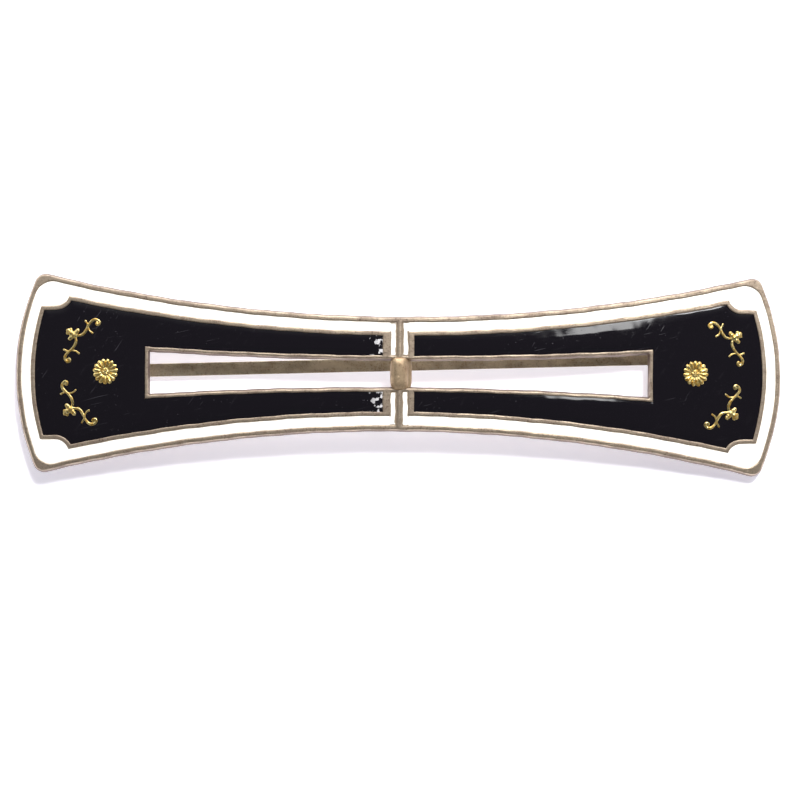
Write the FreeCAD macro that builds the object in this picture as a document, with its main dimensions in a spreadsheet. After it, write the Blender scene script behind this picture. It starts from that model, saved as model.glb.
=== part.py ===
"""Enamelled bar barrette.

A bow-tie shaped silver plaque, arched to follow the head, carries a white enamel border, a black
enamel field and stamped gold foils on its front. A flat tongue is hinged behind its left end and
snaps into a spring clip behind its right end, so that a lock of hair is held between the two.

Millimetres. X runs along the plaque, Z across it, and the front faces -Y. The origin is on the
back of the plaque at its middle, where the hair bears.
"""
import FreeCAD, Part
import math
import os
import re
import Sketcher
from FreeCAD import Placement, Rotation, Vector

doc = FreeCAD.newDocument("barrette")

# ---------------------------------------------------------------- driving dimensions
SIZES = {
    # plan of the plaque
    "plaque_length": 82.0,
    "waist_height": 12.3,
    "long_edge_radius": 160.0,
    "field_edge_radius": 168.0,
    "end_edge_radius": 26.0,
    "plaque_corner": 1.2,
    # section of the plaque, measured forward from its back
    "arch_radius": 220.0,
    "dome_radius": 90.0,
    "floor_height": 0.75,
    "enamel_height": 1.22,
    "rim_height": 1.3,
    "foil_thickness": 0.1,
    # borders, from the outside in
    "rim_width": 0.65,
    "white_width": 1.02,
    "rib_width": 0.42,
    "white_corner": 1.9,
    "field_corner": 0.4,
    "notch_radius": 1.5,
    "notch_along": 36.7,
    "notch_across": 8.65,
    # window through the middle
    "window_length": 53.1,
    "window_waist": 2.8,
    "window_edge_radius": 420.0,
    "window_rim": 0.5,
    # the join of the two halves
    "ridge_width": 0.6,
    "strip_width": 0.65,
    "left_rib_width": 0.8,
    "right_rib_width": 0.6,
    # bead over the join
    "bead_width": 1.9,
    "bead_length": 3.65,
    "bead_height": 1.9,
    "bead_corner": 0.9,
    "bead_round": 0.8,
    # gold foils
    "rosette_along": 31.45,
    "rosette_across": 0.09,
    "rosette_diameter": 2.75,
    "petal_diameter": 0.55,
    "rosette_petals": 15,
    "vine_width": 0.3,
    "tendril_width": 0.18,
    "curl_diameter": 0.56,
    "leaf_diameter": 0.75,
    # tongue and its hinge
    "hinge_along": 33.5,
    "clasp_depth": 5.0,
    "clasp_across": 1.18,
    "clasp_skew": 1.67,
    "clasp_slope": 1.54,
    "bar_width": 1.42,
    "bar_thickness": 0.6,
    "bar_reach": 69.6,
    "waist_start": 65.3,
    "waist_length": 2.2,
    "waist_width": 0.95,
    "bar_edge": 0.1,
    "tip_corner": 0.6,
    "knuckle_radius": 0.95,
    "knuckle_length": 2.3,
    "pin_radius": 0.4,
    "running_clearance": 0.05,
    "side_clearance": 0.06,
    "lug_thickness": 0.55,
    "lug_radius": 1.0,
    "lug_foot": 3.4,
    "lug_depth": 3.6,
    "head_radius": 0.62,
    "head_height": 0.2,
    # pads soldered to the back
    "pad_thickness": 0.45,
    "pad_corner": 1.2,
    "hinge_pad_length": 6.4,
    "hinge_pad_width": 5.6,
    "catch_pad_length": 5.6,
    "catch_pad_width": 4.6,
    # catch
    "clip_length": 1.7,
    "clip_thickness": 0.35,
    "clip_gap": 1.62,
    "lip_gap": 1.12,
    "clip_depth": 0.85,
    "neck_level": 0.5,
    "flare_level": 0.8,
}

sheet = doc.addObject("Spreadsheet::Sheet", "sizes")
for row, (alias, number) in enumerate(SIZES.items(), start=1):
    sheet.set(f"A{row}", alias)
    sheet.set(f"B{row}", str(number))
    sheet.setAlias(f"B{row}", alias)
doc.recompute()


def size(expression):
    """The value, in millimetres or degrees, of an expression on the sheet's aliases."""
    found = sheet.evalExpression(expression)
    return float(getattr(found, "Value", found))


def on_sheet(expression):
    """The same expression, written for an object outside the sheet."""
    return re.sub(r"[a-z_]+", lambda word: f"sizes.{word[0]}" if word[0] in SIZES else word[0], expression)


def bind(item, **expressions):
    """Bind properties of item, such as Length or Placement.Base.x (written Base_x), to the sheet."""
    for prop, expression in expressions.items():
        path = prop.replace("Base_", "Placement.Base.")
        item.setExpression(path, on_sheet(expression))
    return item


# Planes: a plan is drawn on XZ and a section of the plaque on YZ.
PLAN = Placement(Vector(), Rotation(Vector(1, 0, 0), 90))
SECTION = Placement(Vector(), Rotation(Vector(1, 1, 1), 120))
FRONT, BACK = 6.0, 12.0  # how far plan prisms run past the plaque, each way

# The points of a sketch's line or arc that a constraint can hold, and the sketch's own origin.
START, FINISH, MIDDLE = 1, 2, 3
ORIGIN = (-1, 1)


# ---------------------------------------------------------------- plan outlines
def dimension(sketch, kind, name, expression, *where):
    """Add a named dimension to a sketch and bind it to the sheet."""
    index = sketch.addConstraint(Sketcher.Constraint(kind, *where, size(expression)))
    sketch.renameConstraint(index, name)
    sketch.setExpression(f"Constraints.{name}", on_sheet(expression))


def arc(centre, radius, start, end):
    """Arc from one point to another, anticlockwise about centre."""
    angles = [math.atan2(p.y - centre.y, p.x - centre.x) for p in (start, end)]
    return Part.ArcOfCircle(Part.Circle(centre, Vector(0, 0, 1), radius), *angles)


def bow_tie(name, inset, corner, edge_radius="long_edge_radius"):
    """Sketch of the plaque's outline moved inwards: two hollow long edges, two round ends."""
    half, waist = f"plaque_length / 2 - {inset}", f"waist_height / 2 - {inset}"
    long_radius, end_radius = f"{edge_radius} + {inset}", f"end_edge_radius - {inset}"
    across, along = f"{waist} + {long_radius}", f"{half} - ({end_radius})"
    reach, c = size(long_radius), size(corner)
    end = size(end_radius)
    top, right = Vector(0, size(across)), Vector(size(along), 0)
    # The corner arc touches the long edge from below and the end from inside.
    gap = (right - top).Length
    step = ((reach + c) ** 2 - (end - c) ** 2 + gap**2) / (2 * gap)
    rise = math.sqrt((reach + c) ** 2 - step**2)
    line = (right - top).normalize()
    corner_centre = top + line * step + Vector(-line.y, line.x) * rise
    on_long = corner_centre + (top - corner_centre).normalize() * c
    on_end = right + (corner_centre - right).normalize() * end

    def flip(point, sx, sz):
        return Vector(point.x * sx, point.y * sz)

    sketch = doc.addObject("Sketcher::SketchObject", name)
    sketch.Placement = PLAN
    geometry = [
        arc(top, reach, flip(on_long, -1, 1), on_long),
        arc(flip(top, 1, -1), reach, flip(on_long, 1, -1), flip(on_long, -1, -1)),
        arc(right, end, flip(on_end, 1, -1), on_end),
        arc(flip(right, -1, 1), end, flip(on_end, -1, 1), flip(on_end, -1, -1)),
    ]
    for sx, sz in ((1, 1), (-1, 1), (-1, -1), (1, -1)):
        ends = [flip(on_end, sx, sz), flip(on_long, sx, sz)]
        geometry.append(arc(flip(corner_centre, sx, sz), c, *(ends if sx == sz else ends[::-1])))
    sketch.addGeometry(geometry)
    joins = [(0, FINISH, 4, FINISH), (0, START, 5, START), (1, FINISH, 6, FINISH), (1, START, 7, START)]
    joins += [(2, FINISH, 4, START), (3, START, 5, FINISH), (3, FINISH, 6, START), (2, START, 7, FINISH)]
    for join in joins:
        sketch.addConstraint(Sketcher.Constraint("Tangent", *join))
    for edge, axis in ((0, -2), (1, -2), (2, -1), (3, -1)):
        sketch.addConstraint(Sketcher.Constraint("PointOnObject", edge, MIDDLE, axis))
    for equal in ((0, 1), (2, 3), (4, 5), (4, 6), (4, 7)):
        sketch.addConstraint(Sketcher.Constraint("Equal", *equal))
    dimension(sketch, "Radius", "long_edge", long_radius, 0)
    dimension(sketch, "Radius", "end_edge", end_radius, 2)
    dimension(sketch, "Radius", "corner", corner, 4)
    dimension(sketch, "DistanceY", "above", across, *ORIGIN, 0, MIDDLE)
    dimension(sketch, "DistanceY", "below", across, 1, MIDDLE, *ORIGIN)
    dimension(sketch, "DistanceX", "rightwards", along, *ORIGIN, 2, MIDDLE)
    dimension(sketch, "DistanceX", "leftwards", along, 3, MIDDLE, *ORIGIN)
    return sketch


def slot(name, grow):
    """Sketch of the window, grown outwards: two hollow long edges and two straight ends."""
    half, waist = f"window_length / 2 + {grow}", f"window_waist / 2 + {grow}"
    radius = f"window_edge_radius - {grow}"
    across = f"{waist} + {radius}"
    reach = size(half)
    top = Vector(0, size(across))
    corner = Vector(reach, top.y - math.sqrt(size(radius) ** 2 - reach**2))
    corners = [Vector(corner.x * sx, corner.y * sz) for sx, sz in ((1, 1), (-1, 1), (-1, -1), (1, -1))]
    sketch = doc.addObject("Sketcher::SketchObject", name)
    sketch.Placement = PLAN
    sketch.addGeometry([
        arc(top, size(radius), corners[1], corners[0]),
        Part.LineSegment(corners[1], corners[2]),
        arc(-top, size(radius), corners[3], corners[2]),
        Part.LineSegment(corners[3], corners[0]),
    ])
    for join in ((0, START, 1, START), (1, FINISH, 2, FINISH), (2, START, 3, START), (3, FINISH, 0, FINISH)):
        sketch.addConstraint(Sketcher.Constraint("Coincident", *join))
    for edge in (1, 3):
        sketch.addConstraint(Sketcher.Constraint("Vertical", edge))
    for edge in (0, 2):
        sketch.addConstraint(Sketcher.Constraint("PointOnObject", edge, MIDDLE, -2))
    sketch.addConstraint(Sketcher.Constraint("Equal", 0, 2))
    dimension(sketch, "Radius", "long_edge", radius, 0)
    dimension(sketch, "DistanceY", "above", across, *ORIGIN, 0, MIDDLE)
    dimension(sketch, "DistanceY", "below", across, 2, MIDDLE, *ORIGIN)
    dimension(sketch, "DistanceX", "rightwards", half, *ORIGIN, 3, START)
    dimension(sketch, "DistanceX", "leftwards", half, 1, START, *ORIGIN)
    return sketch


def prism(sketch):
    """A plan outline run straight through the plaque from front to back."""
    block = doc.addObject("Part::Extrusion", f"{sketch.Name}_prism")
    block.Base = sketch
    block.DirMode = "Normal"
    block.LengthFwd, block.LengthRev = FRONT, BACK
    block.Solid = True
    return block


def combine(kind, name, *items):
    """Part::MultiFuse, Part::MultiCommon or Part::Cut of document objects."""
    result = doc.addObject(kind, name)
    if kind == "Part::Cut":
        result.Base, result.Tool = items
    else:
        result.Shapes = list(items)
    return result


def strip(name, low, high, across_low="-plaque_length", across_high="plaque_length"):
    """Upright slab through the plaque between two values of X, and two of Z."""
    slab = doc.addObject("Part::Box", name)
    slab.Width = FRONT + BACK
    slab.Placement.Base.y = -FRONT
    bind(slab, Length=f"({high}) - ({low})", Base_x=low)
    return bind(slab, Height=f"({across_high}) - ({across_low})", Base_z=across_low)


# ---------------------------------------------------------------- layers of the plaque
def layer(name, low, high):
    """Shell of even thickness: a shallow arc across the plaque, turned about the arch's axis."""
    sketch = doc.addObject("Sketcher::SketchObject", f"{name}_section")
    sketch.Placement = SECTION
    centre = Vector(size("dome_radius"), 0)
    reach = size("waist_height")
    radii = [size(f"dome_radius + {height}") for height in (low, high)]
    ends = [Vector(centre.x - math.sqrt(radius**2 - reach**2), reach) for radius in radii]
    feet = [Vector(end.x, -end.y) for end in ends]
    sketch.addGeometry([
        arc(centre, radii[0], ends[0], feet[0]),
        Part.LineSegment(feet[0], feet[1]),
        arc(centre, radii[1], ends[1], feet[1]),
        Part.LineSegment(ends[1], ends[0]),
    ])
    for join in ((0, FINISH, 1, START), (1, FINISH, 2, FINISH), (2, START, 3, START), (3, FINISH, 0, START)):
        sketch.addConstraint(Sketcher.Constraint("Coincident", *join))
    sketch.addConstraint(Sketcher.Constraint("Coincident", 0, MIDDLE, 2, MIDDLE))
    sketch.addConstraint(Sketcher.Constraint("PointOnObject", 0, MIDDLE, -1))
    dimension(sketch, "DistanceY", "lower_reach", "waist_height", 1, START, *ORIGIN)
    dimension(sketch, "DistanceY", "upper_reach", "waist_height", *ORIGIN, 3, FINISH)
    dimension(sketch, "DistanceX", "dome_centre", "dome_radius", *ORIGIN, 0, MIDDLE)
    dimension(sketch, "Radius", "back_face", f"dome_radius + {low}", 0)
    dimension(sketch, "Radius", "front_face", f"dome_radius + {high}", 2)
    shell = doc.addObject("Part::Revolution", name)
    shell.Source = sketch
    shell.Axis = Vector(0, 0, 1)
    shell.Angle = 24.0
    shell.Symmetric = True
    shell.Solid = True
    shell.setExpression("Base.y", "sizes.arch_radius")
    return shell


# ---------------------------------------------------------------- the plaque and its cells
to_white = "rim_width"
to_rib = "rim_width + white_width"
to_black = "rim_width + white_width + rib_width"
ridge_side, strip_side = "ridge_width / 2", "(ridge_width / 2 + strip_width)"

outline = prism(bow_tie("outline", "0", "plaque_corner"))
white_edge = prism(bow_tie("white_edge", to_white, "white_corner"))
# The field's edges are a little straighter than the plaque's, so the white border widens to its ends.
rib_edge = prism(bow_tie("rib_edge", f"({to_rib})", "field_corner", "field_edge_radius"))
black_edge = prism(bow_tie("black_edge", f"({to_black})", "field_corner", "field_edge_radius"))
window = prism(slot("window", "0"))
window_rim = prism(slot("window_rim_edge", "window_rim"))
whole_plate = layer("whole_plate", "0", "rim_height")
enamel_layer = layer("enamel_layer", "floor_height", "enamel_height")


def corner_notches(name, grow):
    """The four scooped corners of the black field: a disc, squared off towards the plaque's end."""
    tools = []
    for sx, side in ((1, "right"), (-1, "left")):
        for sz, level in ((1, "upper"), (-1, "lower")):
            disc = doc.addObject("Part::Cylinder", f"{name}_disc_{side}_{level}")
            disc.Placement.Rotation = Rotation(Vector(1, 0, 0), -90)
            disc.Placement.Base.y = -FRONT
            disc.Height = FRONT + BACK
            bind(disc, Radius=f"notch_radius + {grow}", Base_x=f"{sx} * notch_along",
                 Base_z=f"{sz} * notch_across")
            floor = f"notch_across - notch_radius - {grow}"
            ends = [f"{sx} * notch_along", f"{sx} * plaque_length"]
            levels = [f"{sz} * ({floor})", f"{sz} * plaque_length"]
            square = strip(f"{name}_square_{side}_{level}", *ends[::sx], *levels[::sz])
            tools += [disc, square]
    return combine("Part::MultiFuse", name, *tools)


rib_field = combine("Part::Cut", "rib_field", rib_edge, corner_notches("rib_notches", "0"))
black_field = combine("Part::Cut", "black_field", black_edge, corner_notches("black_notches", "rib_width"))
white_band = combine("Part::Cut", "white_band", white_edge, rib_field)

cells = {}
for side, sx in (("left", -1), ("right", 1)):
    inner, outer = f"{sx} * {ridge_side}", f"{sx} * {strip_side}"
    black_start = f"{sx} * ({strip_side} + {side}_rib_width)"
    end = f"{sx} * plaque_length"
    half = strip(f"{side}_half", *(inner, end)[::sx])
    band = combine("Part::MultiCommon", f"{side}_band", white_band, half)
    centre_strip = strip(f"{side}_strip", *(inner, outer)[::sx])
    tab = combine("Part::MultiCommon", f"{side}_tab", white_edge, centre_strip)
    white_plan = combine("Part::MultiFuse", f"{side}_white_plan", band, tab)
    white_open = combine("Part::Cut", f"{side}_white_open", white_plan, window_rim)
    cells[f"white_enamel_{side}"] = combine("Part::MultiCommon", f"white_enamel_{side}",
                                            white_open, enamel_layer)
    far_side = strip(f"{side}_far_side", *(black_start, end)[::sx])
    black_plan = combine("Part::MultiCommon", f"{side}_black_plan", black_field, far_side)
    black_open = combine("Part::Cut", f"{side}_black_open", black_plan, window_rim)
    cells[f"black_enamel_{side}"] = combine("Part::MultiCommon", f"black_enamel_{side}",
                                            black_open, enamel_layer)

solid_plaque = combine("Part::MultiCommon", "solid_plaque", outline, whole_plate)
# The cells are cut right through the rims, so their cutters run on past the front.
cell_layer = layer("cell_layer", "floor_height", "rim_height + rim_height")
open_cells = [combine("Part::MultiCommon", f"{name}_cell", cell.Shapes[0], cell_layer)
              for name, cell in cells.items()]
all_cells = combine("Part::MultiFuse", "all_cells", window, *open_cells)
plaque = combine("Part::Cut", "plaque", solid_plaque, all_cells)


# ---------------------------------------------------------------- PartDesign helpers
def new_body(name):
    """A PartDesign body."""
    return doc.addObject("PartDesign::Body", name)


def sketch_on(body, plane, name):
    """An empty sketch on one of the body's own origin planes, such as XZ_Plane."""
    sketch = body.newObject("Sketcher::SketchObject", name)
    face = next(item for item in body.Origin.OriginFeatures if item.Role == plane)
    sketch.AttachmentSupport = (face, [""])
    sketch.MapMode = "FlatFace"
    return sketch


def rectangle(sketch, name, left, right, low, high):
    """An upright rectangle whose four sides are bound to the sheet, each by its distance from 0."""
    xs, ys = (size(left), size(right)), (size(low), size(high))
    corners = [Vector(xs[0], ys[0]), Vector(xs[1], ys[0]), Vector(xs[1], ys[1]), Vector(xs[0], ys[1])]
    lines = [Part.LineSegment(corners[i], corners[(i + 1) % 4]) for i in range(4)]
    first = sketch.addGeometry(lines)[0]
    for i in range(4):
        here, after = first + i, first + (i + 1) % 4
        sketch.addConstraint(Sketcher.Constraint("Coincident", here, FINISH, after, START))
        sketch.addConstraint(Sketcher.Constraint(("Horizontal", "Vertical")[i % 2], here))
    sides = [("left", "DistanceX", first, left), ("low", "DistanceY", first, low),
             ("right", "DistanceX", first + 2, right), ("high", "DistanceY", first + 2, high)]
    for side, kind, line, expression in sides:
        ahead = size(expression) > 0
        where = (*ORIGIN, line, START) if ahead else (line, START, *ORIGIN)
        dimension(sketch, kind, f"{name}_{side}", expression if ahead else f"-({expression})", *where)


def circle(sketch, name, radius):
    """A circle about the sketch's origin with a bound radius."""
    index = sketch.addGeometry(Part.Circle(Vector(), Vector(0, 0, 1), size(radius)))
    dimension(sketch, "Radius", name, radius, index)
    sketch.addConstraint(Sketcher.Constraint("Coincident", index, MIDDLE, *ORIGIN))


def pad(body, sketch, length, both_ways=True):
    """Pad a sketch by a bound length."""
    feature = body.newObject("PartDesign::Pad", f"{sketch.Name}_pad")
    feature.Profile = sketch
    feature.SideType = "Symmetric" if both_ways else "One side"
    feature.setExpression("Length", on_sheet(length))
    return feature


def pocket(body, sketch):
    """Cut a sketch through everything, both ways."""
    feature = body.newObject("PartDesign::Pocket", f"{sketch.Name}_pocket")
    feature.Profile = sketch
    feature.SideType = "Symmetric"
    feature.Type = "ThroughAll"
    return feature


def round_edges(body, feature, radius, chosen):
    """Fillet the edges of a feature that chosen(edge) picks."""
    doc.recompute()
    names = [f"Edge{i}" for i, edge in enumerate(feature.Shape.Edges, start=1) if chosen(edge)]
    fillet = body.newObject("PartDesign::Fillet", f"{feature.Name}_round")
    fillet.Base = (feature, names)
    fillet.setExpression("Radius", on_sheet(radius))
    return fillet


# ---------------------------------------------------------------- bead over the join
bead_body = new_body("bead_body")
bead_plan = sketch_on(bead_body, "XZ_Plane", "bead_plan")
rectangle(bead_plan, "side", "-bead_width / 2", "bead_width / 2", "-bead_length / 2", "bead_length / 2")
bead_block = pad(bead_body, bead_plan, "bead_height", both_ways=False)
bead_sides = round_edges(bead_body, bead_block, "bead_corner",
                         lambda edge: edge.Length < size("bead_height") + 0.01
                         and abs(edge.BoundBox.YLength - size("bead_height")) < 0.01)
bead_dome = round_edges(bead_body, bead_sides, "bead_round",
                        lambda edge: edge.BoundBox.YMax < -size("bead_height") / 2)
centre_bead = combine("Part::Cut", "centre_bead", bead_body, plaque)


# ---------------------------------------------------------------- gold foils
foil_layer = layer("foil_layer", "enamel_height", "enamel_height + foil_thickness")


def plan_disc(name, radius, x, z):
    """A plan prism of a circle."""
    disc = doc.addObject("Part::Cylinder", name)
    disc.Placement = Placement(Vector(x, -FRONT, z), Rotation(Vector(1, 0, 0), -90))
    disc.Height = FRONT + BACK
    return bind(disc, Radius=radius)


def vine(name, width, *arcs):
    """A plan prism of a line of arcs, each through three (x, z) points, drawn with a round pen."""
    sketch = doc.addObject("Sketcher::SketchObject", f"{name}_line")
    sketch.addGeometry([Part.Arc(*[Vector(*point) for point in bend]) for bend in arcs])
    pen = doc.addObject("Part::Offset2D", f"{name}_pen")
    pen.Source, pen.Mode, pen.Fill = sketch, "Pipe", True
    pen.setExpression("Value", on_sheet(f"{width} / 2"))
    stroke = doc.addObject("Part::Extrusion", name)
    stroke.Base, stroke.DirMode, stroke.Dir = pen, "Custom", Vector(0, 0, 1)
    stroke.LengthFwd, stroke.LengthRev, stroke.Solid = FRONT, BACK, True
    stroke.Placement = PLAN
    return stroke


# The foils were laid by hand, so each sits a little further from the middle, or nearer, than drawn:
# outwards along the plaque, then outwards across it.
DRIFT = {"rosette_left": (-0.16, 0.0), "rosette_right": (0.21, 0.18),
         "scroll_left_upper": (-0.22, -0.1), "scroll_left_lower": (0.08, -0.22),
         "scroll_right_upper": (0.92, 0.03), "scroll_right_lower": (0.55, -0.22)}


def spray(name, sx, sz):
    """Three leaves at a corner of the field, with one vine along the long edge and one down the end."""
    along, across = DRIFT[name]

    def at(x, z):
        return (x + along) * sx, (z + across) * sz

    strokes = [
        vine(f"{name}_long_vine", "vine_width", [at(35.0, 4.15), at(34.0, 4.35), at(33.3, 5.1)],
             [at(33.3, 5.1), at(32.85, 5.7), at(32.3, 5.5)]),
        vine(f"{name}_end_vine", "vine_width", [at(35.0, 4.15), at(34.75, 3.2), at(35.3, 2.5)],
             [at(35.3, 2.5), at(35.9, 1.85), at(35.5, 1.35)]),
        vine(f"{name}_long_tendril", "tendril_width", [at(33.65, 5.55), at(33.5, 4.8), at(33.0, 4.25)]),
        vine(f"{name}_end_tendril", "tendril_width", [at(36.0, 2.5), at(35.2, 2.6), at(34.6, 2.3)]),
    ]
    blobs = {"long_curl": ("curl_diameter / 2", 32.3, 5.5), "end_curl": ("curl_diameter / 2", 35.5, 1.35),
             "tip_leaf": ("leaf_diameter / 2", 35.5, 4.6), "long_leaf": ("leaf_diameter / 2", 34.85, 4.55),
             "end_leaf": ("leaf_diameter / 2", 35.2, 4.0)}
    discs = [plan_disc(f"{name}_{part}", radius, *at(x, z)) for part, (radius, x, z) in blobs.items()]
    plan = combine("Part::MultiFuse", f"{name}_plan", *strokes, *discs)
    return combine("Part::MultiCommon", name, plan, foil_layer)


def rosette(name, sx):
    """A ring of round petals about a disc."""
    along, across = DRIFT[name]
    x, z = sx * (size("rosette_along") + along), size("rosette_across") + across
    ring = size("(rosette_diameter - petal_diameter) / 2")
    count = round(size("rosette_petals"))
    discs = [plan_disc(f"{name}_eye", "rosette_diameter / 2 - petal_diameter / 2", x, z)]
    for i in range(count):
        turn = math.radians(90 + 360 * i / count)
        discs.append(plan_disc(f"{name}_petal_{i}", "petal_diameter / 2",
                               x + ring * math.cos(turn), z + ring * math.sin(turn)))
    plan = combine("Part::MultiFuse", f"{name}_plan", *discs)
    return combine("Part::MultiCommon", name, plan, foil_layer)


foils = []
for side, sx in (("left", -1), ("right", 1)):
    foils.append(rosette(f"rosette_{side}", sx))
    for level, sz in (("upper", 1), ("lower", -1)):
        foils.append(spray(f"scroll_{side}_{level}", sx, sz))


# ---------------------------------------------------------------- pads on the back
def solder_pad(name, along, across, length, width):
    """A thin plate with round corners that follows the hollow of the back."""
    block = strip(f"{name}_block", f"{along} - {length} / 2", f"{along} + {length} / 2",
                  f"{across} - {width} / 2", f"{across} + {width} / 2")
    doc.recompute()
    soft = doc.addObject("Part::Fillet", f"{name}_plan")
    soft.Base = block
    long_edges = [i for i, edge in enumerate(block.Shape.Edges, start=1)
                  if abs(edge.BoundBox.YLength - FRONT - BACK) < 0.01]
    soft.Edges = [(i, size("pad_corner"), size("pad_corner")) for i in long_edges]
    return combine("Part::MultiCommon", name, soft, pad_layer)


pad_layer = layer("pad_layer", "-pad_thickness", "0")
in_front = layer("in_front_of_pads", "-pad_thickness", "4 * rim_height")
# The tongue lies askew, so its hinge is a little below the middle of its run and its catch above.
hinge_across = "(clasp_across - hinge_along * tan(clasp_skew * 1 deg))"
catch_across = "(clasp_across + hinge_along * tan(clasp_skew * 1 deg))"
hinge_plate = solder_pad("hinge_plate", "-hinge_along", hinge_across, "hinge_pad_length", "hinge_pad_width")
catch_plate = solder_pad("catch_plate", "hinge_along", catch_across, "catch_pad_length", "catch_pad_width")

# The clasp has a frame of its own: origin on the hinge pin, X along the tongue, Z along the pin.
skew, slope = math.radians(size("clasp_skew")), math.radians(size("clasp_slope"))
reach = size("hinge_along")
hinge_point = Vector(-reach, size("clasp_depth") + reach * math.tan(slope),
                     size("clasp_across") - reach * math.tan(skew))
lean = Rotation(Vector(0, 1, 0), -size("clasp_skew"))
rise = Rotation(Vector(0, 0, 1), -size("clasp_slope"))
CLASP = Placement(hinge_point, lean * rise)


# ---------------------------------------------------------------- tongue
def is_long(edge):
    """True for the long edges of the tongue."""
    return edge.Length > size("bar_reach") / 2


def is_tip_corner(edge):
    """True for the two short edges at the corners of the tongue's tip."""
    return edge.BoundBox.XMin > size("bar_reach") - 0.01 and edge.BoundBox.YLength > edge.BoundBox.ZLength


clasp_bar = new_body("clasp_bar")
bar_plan = sketch_on(clasp_bar, "XZ_Plane", "bar_plan")
rectangle(bar_plan, "bar", "knuckle_radius / 2", "bar_reach", "-bar_width / 2", "bar_width / 2")
bar_strip = pad(clasp_bar, bar_plan, "bar_thickness")
bar_tip = round_edges(clasp_bar, bar_strip, "tip_corner", is_tip_corner)
saddle_plan = sketch_on(clasp_bar, "XY_Plane", "saddle_plan")
circle(saddle_plan, "knuckle", "knuckle_radius")
saddle = pocket(clasp_bar, saddle_plan)
bar_edges = round_edges(clasp_bar, saddle, "bar_edge", is_long)
waist_plan = sketch_on(clasp_bar, "XZ_Plane", "waist_plan")
rectangle(waist_plan, "upper", "waist_start", "waist_start + waist_length", "waist_width / 2", "bar_width")
rectangle(waist_plan, "lower", "waist_start", "waist_start + waist_length", "-bar_width", "-waist_width / 2")
pocket(clasp_bar, waist_plan)
clasp_bar.Placement = CLASP

bar_knuckle = new_body("bar_knuckle")
knuckle_section = sketch_on(bar_knuckle, "XY_Plane", "knuckle_section")
circle(knuckle_section, "outside", "knuckle_radius")
circle(knuckle_section, "bore", "pin_radius + running_clearance")
pad(bar_knuckle, knuckle_section, "knuckle_length")
bar_knuckle.Placement = CLASP


# ---------------------------------------------------------------- hinge
def along_pin(kind, name, start, **sizes):
    """A Part primitive that stands on the hinge axis, with its foot at a height along the pin."""
    item = doc.addObject(kind, name)
    item.Placement = CLASP * Placement(Vector(0, 0, size(start)), Rotation())
    return bind(item, **sizes)


pin_half = "(knuckle_length / 2 + side_clearance + lug_thickness)"
shaft = along_pin("Part::Cylinder", "pin_shaft", f"-{pin_half}",
                  Radius="pin_radius", Height=f"2 * {pin_half}")
upper_head = along_pin("Part::Cone", "pin_upper_head", pin_half,
                       Radius1="head_radius", Radius2="pin_radius", Height="head_height")
lower_head = along_pin("Part::Cone", "pin_lower_head", f"-{pin_half} - head_height",
                       Radius1="pin_radius", Radius2="head_radius", Height="head_height")
hinge_pin = combine("Part::MultiFuse", "hinge_pin", shaft, upper_head, lower_head)


def lug(name, middle):
    """Ear on the hinge plate: round about the pin, with straight sides down to a wider foot."""
    body = new_body(f"{name}_blank")
    side = sketch_on(body, "XY_Plane", f"{name}_side")
    radius, foot, depth = size("lug_radius"), size("lug_foot / 2"), size("lug_depth")
    turn = math.atan2(-depth, foot) + math.acos(radius / math.hypot(foot, depth))
    touch = Vector(radius * math.cos(turn), radius * math.sin(turn))
    left_touch = Vector(-touch.x, touch.y)
    feet = [Vector(-foot, -depth), Vector(foot, -depth)]
    side.addGeometry([
        arc(Vector(), radius, touch, left_touch),
        Part.LineSegment(left_touch, feet[0]),
        Part.LineSegment(feet[0], feet[1]),
        Part.LineSegment(feet[1], touch),
    ])
    for join in (("Tangent", 0, FINISH, 1, START), ("Coincident", 1, FINISH, 2, START),
                 ("Coincident", 2, FINISH, 3, START), ("Tangent", 3, FINISH, 0, START),
                 ("Coincident", 0, MIDDLE, *ORIGIN)):
        side.addConstraint(Sketcher.Constraint(*join))
    side.addConstraint(Sketcher.Constraint("Symmetric", 2, START, 2, FINISH, -2))
    dimension(side, "Radius", "head", "lug_radius", 0)
    dimension(side, "DistanceX", "foot", "lug_foot", 2, START, 2, FINISH)
    dimension(side, "DistanceY", "depth", "lug_depth", 2, START, *ORIGIN)
    pad(body, side, "lug_thickness")
    hole = sketch_on(body, "XY_Plane", f"{name}_hole")
    circle(hole, "pin", "pin_radius")
    pocket(body, hole)
    body.Placement = CLASP * Placement(Vector(0, 0, size(middle)), Rotation())
    return combine("Part::Cut", name, body, in_front)


lug_middle = "(knuckle_length + lug_thickness) / 2 + side_clearance"
hinge_lug_upper = lug("hinge_lug_upper", lug_middle)
hinge_lug_lower = lug("hinge_lug_lower", f"-({lug_middle})")

# ---------------------------------------------------------------- catch
# The clip is one strip bent to a U, its cheeks drawn in to a neck and flared to guide the tongue in.
cheek, neck = size("(clip_gap + clip_thickness) / 2"), size("(lip_gap + clip_thickness) / 2")
flare, seat = size("(clip_gap + clip_thickness) / 2"), size("-clip_depth")
side_line = [Vector(cheek, seat), Vector(cheek, size("bar_thickness / 4")), Vector(neck, size("neck_level")),
             Vector(flare, size("flare_level"))]
bends = [Vector(-point.x, point.y) for point in reversed(side_line)] + side_line
clip_line = doc.addObject("Sketcher::SketchObject", "clip_line")
clip_line.addGeometry([Part.LineSegment(a, b) for a, b in zip(bends, bends[1:])])
for i in range(len(bends) - 2):
    clip_line.addConstraint(Sketcher.Constraint("Coincident", i, FINISH, i + 1, START))
clip_strip = doc.addObject("Part::Offset2D", "clip_strip")
clip_strip.Source, clip_strip.Mode, clip_strip.Fill = clip_line, "Pipe", True
clip_strip.setExpression("Value", "sizes.clip_thickness / 2")
clip_blank = doc.addObject("Part::Extrusion", "clip_blank")
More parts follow.
